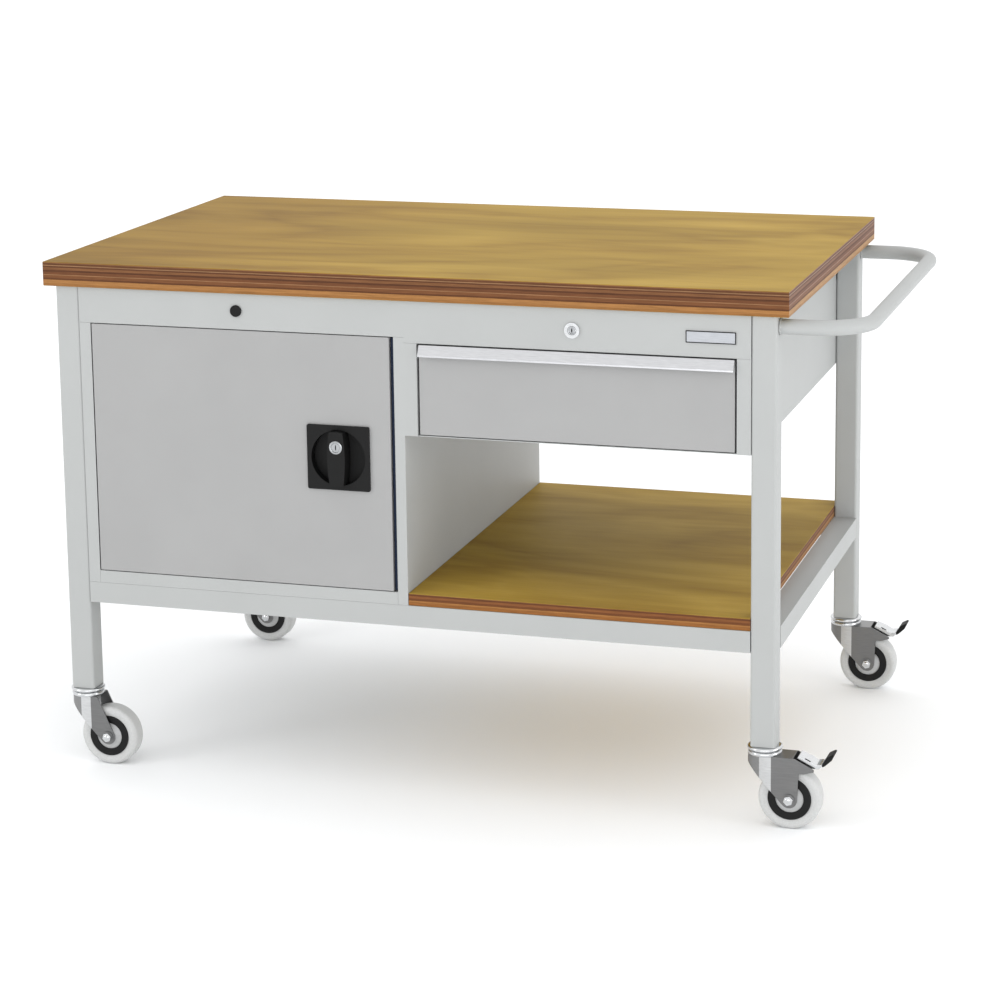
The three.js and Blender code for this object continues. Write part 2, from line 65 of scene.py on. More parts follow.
# Sockets of a Mix node set to RGBA, whose float and vector sockets stay hidden.
MIX_FACTOR, MIX_FIRST, MIX_SECOND = 0, 6, 7
MIX_RESULT = 2


# ---------------------------------------------------------------- node material helpers
class Shader:
    """A material with a Principled shader and short ways to add the nodes behind it."""

    def __init__(self, name, roughness=0.5, metallic=0.0, color=None):
        self.material = bpy.data.materials.new(name)
        self.material.use_nodes = True
        self.tree = self.material.node_tree
        self.principled = self.tree.nodes["Principled BSDF"]
        self.principled.inputs["Roughness"].default_value = roughness
        self.principled.inputs["Metallic"].default_value = metallic
        if color:
            self.principled.inputs["Base Color"].default_value = (*color, 1)
        self.coordinates = self.tree.nodes.new("ShaderNodeTexCoord").outputs["Object"]

    def add(self, kind, **values):
        node = self.tree.nodes.new(kind)
        for key, value in values.items():
            setattr(node, key, value)
        return node

    def link(self, source, target):
        self.tree.links.new(source, target)

    def stretched(self, scale, turn=(0, 0, 0)):
        mapping = self.add("ShaderNodeMapping")
        mapping.inputs["Scale"].default_value = scale
        mapping.inputs["Rotation"].default_value = turn
        self.link(self.coordinates, mapping.inputs["Vector"])
        return mapping.outputs["Vector"]

    def noise(self, scale, detail=4, roughness=0.5, distortion=0.0, vector=None):
        node = self.add("ShaderNodeTexNoise")
        node.inputs["Scale"].default_value = scale
        node.inputs["Detail"].default_value = detail
        node.inputs["Roughness"].default_value = roughness
        node.inputs["Distortion"].default_value = distortion
        self.link(vector or self.coordinates, node.inputs["Vector"])
        return node.outputs["Fac"]

    def ramp(self, factor, stops, interpolation="LINEAR"):
        node = self.add("ShaderNodeValToRGB")
        node.color_ramp.interpolation = interpolation
        elements = node.color_ramp.elements
        while len(elements) < len(stops):
            elements.new(0.5)
        for element, (place, color) in zip(elements, stops):
            element.position = place
            element.color = (*color, 1)
        self.link(factor, node.inputs["Fac"])
        return node.outputs["Color"]

    def value(self, factor, low, high):
        node = self.add("ShaderNodeMapRange")
        node.inputs["To Min"].default_value = low
        node.inputs["To Max"].default_value = high
        self.link(factor, node.inputs["Value"])
        return node.outputs["Result"]

    def mix(self, factor, first, second, blend="MIX"):
        node = self.add("ShaderNodeMix", data_type="RGBA", blend_type=blend)
        for socket, value in ((MIX_FACTOR, factor), (MIX_FIRST, first), (MIX_SECOND, second)):
            if isinstance(value, bpy.types.NodeSocket):
                self.link(value, node.inputs[socket])
            elif socket == MIX_FACTOR:
                node.inputs[socket].default_value = value
            else:
                node.inputs[socket].default_value = (*value, 1)
        return node.outputs[MIX_RESULT]

    def multiply(self, first, second):
        return self.mix(1.0, first, second, "MULTIPLY")

    def axis(self, name):
        node = self.add("ShaderNodeSeparateXYZ")
        self.link(self.coordinates, node.inputs[0])
        return node.outputs[name]

    def math(self, operation, first, second):
        node = self.add("ShaderNodeMath", operation=operation)
        for index, value in enumerate((first, second)):
            if isinstance(value, bpy.types.NodeSocket):
                self.link(value, node.inputs[index])
            else:
                node.inputs[index].default_value = value
        return node.outputs[0]

    def color(self, output):
        self.link(output, self.principled.inputs["Base Color"])

    def roughness(self, factor, low, high):
        self.link(self.value(factor, low, high), self.principled.inputs["Roughness"])

    def specular(self, level):
        self.principled.inputs["Specular IOR Level"].default_value = level

    def bump(self, height, strength, distance):
        node = self.add("ShaderNodeBump")
        node.inputs["Strength"].default_value = strength
        node.inputs["Distance"].default_value = distance
        self.link(height, node.inputs["Height"])
        self.link(node.outputs["Normal"], self.principled.inputs["Normal"])


# ---------------------------------------------------------------- materials
def powder_coat(name, base, deep):
    """Satin powder coat: a fine orange peel and a barely mottled tone."""
    shader = Shader(name)
    mottle = shader.noise(scale=9, detail=3)
    shader.color(shader.ramp(mottle, [(0.3, deep), (0.7, base)]))
    peel = shader.noise(scale=620, detail=2, roughness=0.6)
    shader.roughness(peel, low=0.42, high=0.56)
    shader.bump(peel, strength=0.16, distance=0.0004)
    shader.specular(0.4)
    return shader.material


# The veneer's figure: how many rings cross the sheet, how much the rings and the flames
# count in it, and how far left of the middle its painted shade is darkest, in metres.
RINGS = 9.0
RING_SHARE = 0.35
FLAME_SHARE = 0.65
PAINTED_SHADE_END = 0.5


def veneer():
    """Lacquered face veneer: broad soft flames along X, fine pores, slow changes of tone, and a painted
    shade that darkens it towards its left end.
    """
    shader = Shader("face_veneer")

    broad = shader.stretched((1.1, 3.0, 3.0))
    bend = shader.noise(scale=1.0, detail=3, distortion=0.8, vector=broad)
    rings = shader.math("PINGPONG", shader.math("MULTIPLY", bend, RINGS), 1.0)
    long_flames = shader.stretched((1.3, 8, 8))
    flames = shader.noise(scale=1.0, detail=5, roughness=0.6, distortion=2.2, vector=long_flames)
    ring_part = shader.math("MULTIPLY", rings, RING_SHARE)
    flame_part = shader.math("MULTIPLY", flames, FLAME_SHARE)
    figure = shader.math("ADD", ring_part, flame_part)
    tone = shader.ramp(
        figure,
        [(0.22, (0.290, 0.165, 0.020)), (0.45, (0.382, 0.238, 0.038)), (0.7, (0.450, 0.290, 0.058))],
    )

    fibres = shader.noise(scale=1.0, detail=6, roughness=0.7, vector=shader.stretched((12, 380, 380)))
    fine = shader.ramp(fibres, [(0.32, (0.88, 0.85, 0.80)), (0.6, (1.0, 1.0, 1.0))])
    clouds = shader.noise(scale=2.2, detail=2, vector=shader.stretched((0.7, 1.6, 1)))
    cloud_tone = shader.ramp(clouds, [(0.35, (0.80, 0.80, 0.70)), (0.62, (1.0, 1.0, 1.0))])
    # An overall tint, and a painted shade that darkens the sheet towards its left end.
    along = shader.math("ADD", shader.axis("X"), PAINTED_SHADE_END)
    tint_and_painted_shade = shader.ramp(along, [(0.0, (0.76, 0.70, 0.46)), (0.44, (1.04, 1.05, 0.86))])
    wood = shader.multiply(shader.multiply(tone, fine), cloud_tone)
    shader.color(shader.multiply(wood, tint_and_painted_shade))

    shader.roughness(fibres, low=0.48, high=0.60)
    shader.bump(fibres, strength=0.12, distance=0.0003)
    shader.specular(0.11)
    return shader.material


# Plies from the underside up: where each starts, as a share of the thickness, and its tone.
THICK_PLIES = [
    (0.00, (0.40, 0.215, 0.088)), (0.11, (0.47, 0.265, 0.115)), (0.26, (0.15, 0.066, 0.034)),
    (0.33, (0.235, 0.112, 0.058)), (0.45, (0.36, 0.215, 0.135)), (0.485, (0.20, 0.092, 0.050)),
    (0.60, (0.125, 0.056, 0.032)), (0.67, (0.26, 0.135, 0.075)), (0.77, (0.145, 0.066, 0.038)),
    (0.83, (0.38, 0.25, 0.165)), (0.865, (0.165, 0.078, 0.044)), (0.945, (0.31, 0.18, 0.10)),
]
THIN_PLIES = [
    (0.00, (0.36, 0.17, 0.062)), (0.30, (0.45, 0.24, 0.095)), (0.42, (0.20, 0.085, 0.038)),
    (0.62, (0.29, 0.13, 0.058)), (0.80, (0.17, 0.072, 0.036)), (0.93, (0.32, 0.19, 0.09)),
]


PLY_WOBBLE = 0.0008
FRONT_TINT = (0.70, 0.59, 0.44)
SIDE_TINT = (0.92, 1.00, 1.20)


def ply_edge(name, low, high, plies, tint):
    """The layered edge of a multiplex board: one tone per ply, streaked along its fibres."""
    shader = Shader(name)
    height = shader.math("SUBTRACT", shader.axis("Z"), low)
    wobble = shader.noise(scale=1.0, detail=2, vector=shader.stretched((5, 5, 20)))
    height = shader.math("ADD", height, shader.value(wobble, -PLY_WOBBLE, PLY_WOBBLE))
    layer = shader.math("DIVIDE", height, high - low)
    stops = [(place, tuple(a * b for a, b in zip(tone, tint))) for place, tone in plies]
    layers = shader.ramp(layer, stops, "CONSTANT")
    grain = shader.noise(scale=1.0, detail=5, roughness=0.7, vector=shader.stretched((30, 30, 900)))
    streaks = shader.ramp(grain, [(0.3, (0.66, 0.64, 0.62)), (0.65, (1.14, 1.12, 1.10))])
    shader.color(shader.multiply(layers, streaks))
    shader.roughness(grain, low=0.5, high=0.68)
    shader.bump(grain, strength=0.25, distance=0.0004)
    shader.specular(0.15)
    return shader.material


POLISH_DEPTH = 0.86
GRAIN_DEPTH = 0.85


def shaded(base, share):
    return tuple(channel * share for channel in base)


def polished(name, base, roughness, scratch=0.05):
    """Plated or anodised metal with faint polishing marks."""
    shader = Shader(name, metallic=1.0)
    marks = shader.noise(scale=1.0, detail=4, vector=shader.stretched((60, 900, 900)))
    shader.color(shader.ramp(marks, [(0.3, shaded(base, POLISH_DEPTH)), (0.7, base)]))
    shader.roughness(marks, roughness, roughness + scratch)
    shader.bump(marks, strength=0.05, distance=0.0002)
    return shader.material


def moulded(name, base, roughness, grain_scale=900, grain=0.12):
    """Moulded plastic with a fine eroded texture."""
    shader = Shader(name)
    fine = shader.noise(grain_scale, detail=3, roughness=0.6)
    shader.color(shader.ramp(fine, [(0.3, shaded(base, GRAIN_DEPTH)), (0.7, base)]))
    shader.roughness(fine, roughness, roughness + 0.12)
    shader.bump(fine, grain, distance=0.0003)
    shader.specular(0.22)
    return shader.material


MATERIALS = {
    "powder_grey": powder_coat("powder_grey", (0.400, 0.410, 0.406), (0.386, 0.396, 0.392)),
    "front_grey": powder_coat("front_grey", (0.334, 0.334, 0.333), (0.320, 0.320, 0.319)),
    "plywood": veneer(),
    "aluminium_strip": polished("aluminium_strip", (0.60, 0.605, 0.62), 0.36),
    "bright_metal": polished("bright_metal", (0.66, 0.67, 0.68), 0.12),
    "zinc_steel": polished("zinc_steel", (0.20, 0.20, 0.20), 0.36, 0.08),
    "black_plastic": moulded("black_plastic", (0.0050, 0.0050, 0.0050), 0.50),
    "wheel_plastic": moulded("wheel_plastic", (0.55, 0.555, 0.55), 0.42, 500, 0.08),
}
HUB_GREY = moulded("hub_grey", (0.50, 0.505, 0.505), 0.42, 500, 0.08)
# Lighter copies of the fork's zinc: a painted highlight for the bright band on the fork's bend, and a
# painted lighter tone for its nose and crown.
HIGHLIGHT_ZINC = polished("bend_painted_highlight", (0.62, 0.625, 0.63), 0.30, 0.08)
PAINTED_LIGHTER_ZINC = polished("painted_lighter_zinc", (0.27, 0.27, 0.27), 0.32, 0.08)
CYLINDER_FACE = polished("cylinder_face", (0.42, 0.43, 0.44), 0.16)
RING_BLACK = moulded("ring_black", (0.0055, 0.0055, 0.0055), 0.45)
# Near-black, for the painted shade in key ways and the brake's slot.
SLOT_SHADE = moulded("slot_painted_shade", (0.004, 0.004, 0.005), 0.7)
PLATE_SILVER = polished("plate_silver", (0.46, 0.475, 0.50), 0.5)
# Dark navy for the painted shadow in the door's gap.
GAP_SHADE_NAVY = moulded("gap_shade_navy", (0.006, 0.014, 0.038), 0.6)


def finish_with(obj, *materials):
    obj.data.materials.clear()
    for material in materials:
        obj.data.materials.append(material)


# ---------------------------------------------------------------- mesh helpers
def new_object(name, mesh, body):
    obj = bpy.data.objects.new(name, mesh)
    bpy.context.scene.collection.objects.link(obj)
    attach(obj, body)
    return obj


def mesh_of(name, points, faces):
    mesh = bpy.data.meshes.new(name)
    mesh.from_pydata([tuple(point) for point in points], [], faces)
    mesh.validate()
    return mesh


def soften(obj, width, segments=2, angle=35):
    """A small bevel on hard edges, and smooth shading between them."""
    bevel = obj.modifiers.new("edge", "BEVEL")
    bevel.width = width
    bevel.segments = segments
    bevel.limit_method = "ANGLE"
    bevel.angle_limit = math.radians(angle)
    bevel.harden_normals = True
    shade(obj, angle)


def shade(obj, angle=35):
    mesh = obj.data
    mesh.polygons.foreach_set("use_smooth", [True] * len(mesh.polygons))
    mesh.set_sharp_from_angle(angle=math.radians(angle))


def lathe(name, profile, centre, axis, body, segments=72):
    """A turned piece from a closed (radius, along) outline in metres, about Y or Z."""
    points = []
    faces = []
    count = len(profile)
    for turn in range(segments):
        angle = 2 * math.pi * turn / segments
        for radius, along in profile:
            c, s = radius * math.cos(angle), radius * math.sin(angle)
            offset = Vector((c, along, s)) if axis == "Y" else Vector((c, s, along))
            points.append(centre + offset)
    for turn in range(segments):
        following = (turn + 1) % segments
        for index in range(count):
            after = (index + 1) % count
            loop = [
                turn * count + index, turn * count + after,
                following * count + after, following * count + index,
            ]
            faces.append(loop)
    mesh = mesh_of(name, points, faces)
    with_outward_normals(mesh)
    obj = new_object(name, mesh, body)
    shade(obj, 40)
    return obj


def with_outward_normals(mesh):
    work = bmesh.new()
    work.from_mesh(mesh)
    bmesh.ops.remove_doubles(work, verts=work.verts, dist=1e-6)
    bmesh.ops.recalc_face_normals(work, faces=work.faces)
    work.to_mesh(mesh)
    work.free()


def prism(name, outline, across, along, body, bevel=0.0):
    """An (x, z) outline, in metres, made solid between two y values."""
    low, high = across
    count = len(outline)
    points = [along + Vector((x, low, z)) for x, z in outline]
    points += [along + Vector((x, high, z)) for x, z in outline]
    faces = [list(range(count)), list(range(2 * count - 1, count - 1, -1))]
    for index in range(count):
        after = (index + 1) % count
        faces.append([index, after, count + after, count + index])
    mesh = mesh_of(name, points, faces)
    with_outward_normals(mesh)
    obj = new_object(name, mesh, body)
    if bevel:
        soften(obj, bevel)
    return obj


def arc(centre_x, centre_y, radius, start, end, steps):
    """Points of an arc, angles in degrees."""
    points = []
    for step in range(steps + 1):
        angle = math.radians(start + (end - start) * step / steps)
        points.append((centre_x + radius * math.cos(angle), centre_y + radius * math.sin(angle)))
    return points


# ---------------------------------------------------------------- wooden boards
FRONT_EDGE, SIDE_EDGE = 1, 2  # where a board keeps its edge materials, after the veneer


def board(name, low, high, node, plies, round_edge):
    """A multiplex board with eased edges: veneer above and below, plies on the four edges."""
    work = bmesh.new()
    bmesh.ops.create_cube(work, size=1.0)
    centre = (low + high) / 2
    size = high - low
    for vertex in work.verts:
        vertex.co = centre + Vector(a * b for a, b in zip(vertex.co, size))
    mesh = bpy.data.meshes.new(name)
    work.to_mesh(mesh)
    work.free()
    obj = new_object(name, mesh, "bench")
    front_edge = ply_edge(name + "_edge", low.z, high.z, plies, FRONT_TINT)
    side_edge = ply_edge(name + "_side", low.z, high.z, plies, SIDE_TINT)
    finish_with(obj, MATERIALS["plywood"], front_edge, side_edge)
    for face in mesh.polygons:
        if abs(face.normal.x) > 0.5:
            face.material_index = SIDE_EDGE
        elif abs(face.normal.y) > 0.5:
            face.material_index = FRONT_EDGE
    soften(obj, round_edge, 3)
    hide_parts(node)


board("worktop_board", TOP_LOW, TOP_HIGH, "worktop", THICK_PLIES, 0.0012)
board("bay_shelf_board", SHELF_LOW, SHELF_HIGH, "bay_shelf", THIN_PLIES, 0.0008)


# ---------------------------------------------------------------- push handle
def tube(name, path, normal, radius, body, slot, sides=32, closed=False):
    """A round tube along points that all lie in the plane square to the normal."""
    count = len(path)
    points = []
    for index, point in enumerate(path):
        before = path[index - 1] if index or closed else point
        after = path[(index + 1) % count] if index < count - 1 or closed else point
        side = (after - before).normalized().cross(normal)
        for step in range(sides):
            angle = 2 * math.pi * step / sides
            level = point + side * (radius * math.cos(angle))
            points.append(level + normal * (radius * math.sin(angle)))
    faces = []
    for index in range(count if closed else count - 1):
        following = (index + 1) % count
        for step in range(sides):
            after = (step + 1) % sides
            faces.append([
                index * sides + step, index * sides + after,
                following * sides + after, following * sides + step,
            ])
    if not closed:
        last = (count - 1) * sides
        faces += [list(range(sides)), list(range(last + sides - 1, last - 1, -1))]
    mesh = mesh_of(name, points, faces)
    with_outward_normals(mesh)
    obj = new_object(name, mesh, body)
    shade(obj, 50)
    finish_with(obj, MATERIALS[slot])
    return obj


HANDLE_BEND = 80 * MM
WELD_STEPS = 54
WELD_RIPPLES = 9


def push_handle():
    low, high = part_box("push_handle")
    radius = (high.z - low.z) / 2
    height = (low.z + high.z) / 2
    bend = HANDLE_BEND
    far = high.x - radius
    y0, y1 = low.y + radius, high.y - radius
    outline = [(low.x, y0)]
    outline += arc(far - bend, y0 + bend, bend, -90, 0, 20)
    outline += arc(far - bend, y1 - bend, bend, 0, 90, 20)
    outline += [(low.x, y1)]
    path = [Vector((x, y, height)) for x, y in outline]
    obj = tube("push_handle_tube", path, Vector((0, 0, 1)), radius, "bench", "powder_grey", 40)
    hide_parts("push_handle")
    for side, y in (("front", y0), ("rear", y1)):
        weld_bead(f"handle_weld_{side}", Vector((low.x, y, height)), radius)


def weld_bead(name, centre, radius):
    """The painted weld where a handle end meets its leg."""
    path = []
    for step in range(WELD_STEPS):
        angle = 2 * math.pi * step / WELD_STEPS
        ripple = radius + 0.25 * MM * math.sin(angle * WELD_RIPPLES)
        path.append(centre + Vector((1.2 * MM, ripple * math.cos(angle), ripple * math.sin(angle))))
    tube(name, path, Vector((1, 0, 0)), 1.4 * MM, "bench", "powder_grey", 10, closed=True)


push_handle()


# ---------------------------------------------------------------- casters
TRAIL = 42 * MM
WHEEL_R = 50 * MM
FORK_HALF = 21 * MM
RACE_R = 28.2 * MM
NOSE_TIP = -27 * MM
NOSE_BACK = 12 * MM
BEND_X = (-6 * MM, 13 * MM)  # the bend between the fork's nose and its cheeks, where a bright band is painted on as a highlight

# Heights above the floor, in metres.
STEM_RING = (0.1252, 0.1316)
FORK_RING = (0.1172, 0.1246)
CROWN = (0.1158, 0.1181)
CHEEK_TOP = 0.1178
PIVOT_HEIGHT = 0.104

# A cheek's outline: the slanting front edge, the boss round the axle and the edge behind it.
FRONT_EDGE_TOP, FRONT_EDGE_LOW = 0.106, 0.0411
FRONT_EDGE_START, FRONT_EDGE_END, FRONT_EDGE_RUN = 0.028, 0.0318, 0.0598
BOSS_R = 0.0135
REAR_EDGE_LOW = 0.094
REAR_EDGE_FLAT = (0.0585, 0.066)
PEDAL_PIVOT_X = 0.066
CHEEK_STEPS = 40
CHEEK_ROWS = 9
CHEEKS, NOSE, BEND = 0, 1, 2  # the fork sheet's three materials: plain zinc, painted lighter zinc on the nose, a painted highlight on the bend


def ring_profile(inner, outer, low, high, round_by):
    """A ring's section with a half-round outer edge."""
    middle = (low + high) / 2
    points = [(inner, high), (inner, low)]
    half = (high - low) / 2
    for x, y in arc(0, 0, 1, -90, 90, 10):
        points.append((outer - round_by + round_by * x, middle + half * y))
    return points


def caster_stem(corner, centre):
    body = "bench"
    name = f"caster_stem_{corner}"
    upper = lathe(
        f"caster_race_{corner}", ring_profile(0.004, RACE_R, *STEM_RING, 0.0034),
        centre, "Z", body,
    )
    pin = lathe(
        f"caster_pin_{corner}", [(0.0, 0.108), (0.006, 0.109), (0.006, 0.130), (0.0, 0.130)],
        centre, "Z", body, 24,
    )
    finish_with(upper, MATERIALS["bright_metal"])
    finish_with(pin, MATERIALS["zinc_steel"])
    insert = lathe(
        f"caster_insert_{corner}",
        [(0.0, 0.1318), (0.0168, 0.1318), (0.0171, 0.134), (0.0171, 0.168), (0.0150, 0.172), (0.0, 0.172)],
        centre, "Z", body, 32,
    )
    finish_with(insert, MATERIALS["zinc_steel"])
    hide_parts(name)


def fork_heights(x, brake):
    """Lower and upper edge of a cheek at x, measured from the swivel axis, in metres."""
    flat_start, flat_end = REAR_EDGE_FLAT
    if x <= FRONT_EDGE_END:
        fall = (x + FRONT_EDGE_START) * (FRONT_EDGE_TOP - FRONT_EDGE_LOW) / FRONT_EDGE_RUN
        low = FRONT_EDGE_TOP - fall
    elif x < TRAIL + BOSS_R:
        low = 0.050 - math.sqrt(max(BOSS_R**2 - (x - TRAIL) ** 2, 0))
    elif x < flat_start:
        low = REAR_EDGE_LOW - (flat_start - x) * 2.6
    else:
        low = REAR_EDGE_LOW + max(x - flat_end, 0) * 0.32
    slope_start, slope = (0.050, 0.5) if brake else (0.025, 2.18)
    high = CHEEK_TOP if x < slope_start else CHEEK_TOP - (x - slope_start) * slope
    return low, max(high, low + 0.0002)


def fork_shell(corner, centre, brake):
    """One pressed sheet: cheeks and nose as upright columns cut to the cheek's outline, the nose in a
    painted lighter zinc and the bend in a painted highlight.
    """
    end = 0.0815 if brake else 0.0550
    half = FORK_HALF - 1.2 * MM
    depth = NOSE_BACK - NOSE_TIP - 1.2 * MM
    nose = [(NOSE_BACK + x * depth, y * half) for x, y in arc(0, 0, 1, 180, 90, 30)]
    reach = end - NOSE_BACK
    side = [(NOSE_BACK + reach * index / CHEEK_STEPS, half) for index in range(1, CHEEK_STEPS + 1)]
    edge = nose + side
    full = [(x, -y) for x, y in reversed(edge)] + edge[1:]
    points = []
    for x, y in full:
        low, high = fork_heights(x, brake)
        for row in range(CHEEK_ROWS):
            height = low + (high - low) * row / (CHEEK_ROWS - 1)
            points.append(centre + Vector((x, y, height)))
    faces = []
    for column in range(len(full) - 1):
        for row in range(CHEEK_ROWS - 1):
            first = column * CHEEK_ROWS + row
            faces.append([first, first + CHEEK_ROWS, first + CHEEK_ROWS + 1, first + 1])
    mesh = mesh_of(f"fork_shell_{corner}", points, faces)
    obj = new_object(f"fork_shell_{corner}", mesh, f"swivel_{corner}")
    finish_with(obj, MATERIALS["zinc_steel"], PAINTED_LIGHTER_ZINC, HIGHLIGHT_ZINC)
    for face in mesh.polygons:
        x = face.center.x - centre.x
        face.material_index = CHEEKS if x > BEND_X[1] else BEND if x > BEND_X[0] else NOSE
    thick = obj.modifiers.new("sheet", "SOLIDIFY")
    thick.thickness = 2.3 * MM
    thick.offset = 0
    soften(obj, 0.0005)
    return obj


def caster_fork(corner, centre, brake):
    body = f"swivel_{corner}"
    shell = fork_shell(corner, centre, brake)
    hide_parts(f"caster_fork_{corner}")
    race = lathe(
        f"fork_race_{corner}", ring_profile(0.0065, RACE_R - MM, *FORK_RING, 0.0036),
        centre, "Z", body,
    )
    finish_with(race, MATERIALS["bright_metal"])
    end = 0.048 if brake else 0.024
    half = FORK_HALF - 0.5 * MM
    depth = NOSE_BACK - NOSE_TIP - 0.5 * MM
    outline = [(NOSE_BACK + x * depth, y * half) for x, y in arc(0, 0, 1, 90, 270, 30)]
    outline += [(end, -half), (end, half)]
    count = len(outline)
    points = [centre + Vector((x, y, height)) for height in CROWN for x, y in outline]
    faces = [list(range(count)), list(range(2 * count - 1, count - 1, -1))]
    faces += [[i, (i + 1) % count, count + (i + 1) % count, count + i] for i in range(count)]
    mesh = mesh_of(f"fork_crown_{corner}", points, faces)
    with_outward_normals(mesh)
    crown = new_object(f"fork_crown_{corner}", mesh, body)
    soften(crown, 0.0007)
    # The crown takes the nose's painted lighter zinc too.
    finish_with(crown, PAINTED_LIGHTER_ZINC)


TREAD_INNER = 0.0345


def caster_wheel(corner, centre):
    """Nylon tread with a rounded face, a recessed web, a black ring and a bushed hub."""
    body = f"wheel_{corner}"
    middle = centre + Vector((TRAIL, 0, WHEEL_R))
    tread = [(TREAD_INNER, -0.0135)]
    for shoulder, angles in ((-0.009, range(-90, 1, 10)), (0.009, range(0, 91, 10))):
        for angle in map(math.radians, angles):
            tread.append((0.0430 + 0.0070 * math.cos(angle), shoulder + 0.0069 * math.sin(angle)))
    tread.append((TREAD_INNER, 0.0135))
    tyre = lathe(f"wheel_tread_{corner}", tread, middle, "Y", body, 96)
    finish_with(tyre, MATERIALS["wheel_plastic"])
    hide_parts(f"caster_wheel_{corner}")
    for side in (-1, 1):
        ring = [
            (0.0225, side * 0.0118), (TREAD_INNER, side * 0.0118), (TREAD_INNER, side * 0.0150),
            (0.0340, side * 0.0156), (0.0232, side * 0.0156), (0.0225, side * 0.0150),
        ]
        piece = lathe(f"wheel_ring_{corner}_{side + 1}", ring, middle, "Y", body, 96)
        finish_with(piece, RING_BLACK)
    hub = [
        (0.0053, -0.0179), (0.0105, -0.0179), (0.0120, -0.0165), (0.0140, -0.0145), (0.0228, -0.0130),
        (0.0228, 0.0130), (0.0140, 0.0145), (0.0120, 0.0165), (0.0105, 0.0179), (0.0053, 0.0179),
    ]
    centre_piece = lathe(f"wheel_hub_{corner}", hub, middle, "Y", body, 72)
    finish_with(centre_piece, HUB_GREY)


def caster_axle(corner, centre):
    body = f"swivel_{corner}"
    middle = centre + Vector((TRAIL, 0, WHEEL_R))
    seat = FORK_HALF + 0.0003
    hexagon = arc(0, 0, 0.0080, 15, 315, 5)
    for side, low, high in (("head", -seat - 0.0055, -seat), ("nut", seat, seat + 0.0055)):
        piece = prism(f"axle_{side}_{corner}", hexagon, (low, high), middle, body, 0.0007)
        finish_with(piece, MATERIALS["bright_metal"])
    shaft = [
        (0.0, -seat - 0.0066), (0.0036, -seat - 0.0066), (0.0048, -seat - 0.0056),
        (0.0048, seat + 0.0060), (0.0042, seat + 0.0069), (0.0, seat + 0.0069),
    ]
    bolt = lathe(f"axle_bolt_{corner}", shaft, middle, "Y", body, 32)
    finish_with(bolt, MATERIALS["bright_metal"])
    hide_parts(f"caster_axle_{corner}")
    for side in (-1, 1):
        inner, outer = side * (seat - 0.2 * MM), side * (seat + 0.9 * MM)
        washer = [(5.0 * MM, inner), (9.8 * MM, inner), (9.8 * MM, outer), (5.0 * MM, outer)]
        disc = lathe(f"axle_washer_{corner}_{side + 1}", washer, middle, "Y", body, 40)
        finish_with(disc, MATERIALS["zinc_steel"])


def brake_pedal(corner, centre):
    """A bright bent arm and a black toe."""
    body = f"brake_{corner}"
    pivot = centre + Vector((PEDAL_PIVOT_X, 0, PIVOT_HEIGHT))
    arm_outline = [
        (-0.012, 0.0135), (-0.010, 0.017), (0.006, 0.011), (0.017, 0.005), (0.0265, 0.006), (0.0275, 0.0035),
        (0.022, -0.002), (0.012, -0.002), (0.004, -0.005), (-0.004, -0.005), (-0.008, 0.002),
    ]
    arm = prism(f"brake_arm_{corner}", arm_outline, (-0.0148, 0.0148), pivot, body, 0.0008)
    finish_with(arm, MATERIALS["bright_metal"])
    toe_outline = [
        (0.0250, 0.0020), (0.0280, 0.0075), (0.0345, 0.0185), (0.0440, 0.0235),
        (0.0465, 0.0225), (0.0420, 0.0135), (0.0330, 0.0050), (0.0290, 0.0020),
    ]
    toe = prism(f"brake_toe_{corner}", toe_outline, (-0.0140, 0.0140), pivot, body, 0.0012)
    finish_with(toe, MATERIALS["black_plastic"])
    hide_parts(f"brake_pedal_{corner}")
    # A near-black sliver on the arm's side: a painted shade for the slot there.
    slot = prism(
        f"brake_slot_shade_{corner}", [(0.000, 0.0135), (0.0012, 0.0143), (0.0095, 0.0102), (0.0088, 0.0090)],
        (-0.0150, -0.0135), pivot, body,
    )
    finish_with(slot, SLOT_SHADE)


def casters():
    for corner in CORNERS:
        low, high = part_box(f"caster_stem_{corner}")
        centre = Vector(((low.x + high.x) / 2, (low.y + high.y) / 2, 0))
        brake = corner in BRAKED
        caster_stem(corner, centre)
        caster_fork(corner, centre, brake)
        caster_wheel(corner, centre)
        caster_axle(corner, centre)
        if brake:
            brake_pedal(corner, centre)


casters()


# ---------------------------------------------------------------- carried-over CAD nodes
SLOT_OF = {entry["node"]: entry["material_slot"] for entry in frame["record"]["subparts"]}
RAIL_EDGE, PLAIN_EDGE, SEAM_EDGE = 0.0012, 0.0004, 0.00015
EDGE_OF = {
    "latch_grip": 0.0012,
    "latch_plate": 0.0008,
    "blanking_plug": 0.0008,
    "drawer_pull": 0.0003,
    "drawer_lock_housing": 0.0010,
}
TIGHT_SEAMS = ("front_fascia", "drawer_bay_side_right", "cupboard_side_left", "middle_partition")


def carried_over():
    """Every CAD node still shown gets its material, an eased edge and smooth round faces."""
    for name, obj in NODES.items():
        finish_with(obj, PLATE_SILVER if name == "name_plate" else MATERIALS[SLOT_OF[name]])
        if not obj.hide_render:
            rail = name.startswith("lower_rail")
            plain = SEAM_EDGE if name in TIGHT_SEAMS else PLAIN_EDGE
            width = EDGE_OF.get(name, RAIL_EDGE if rail else plain)
            soften(obj, width, 3 if rail else 2, 40)


carried_over()


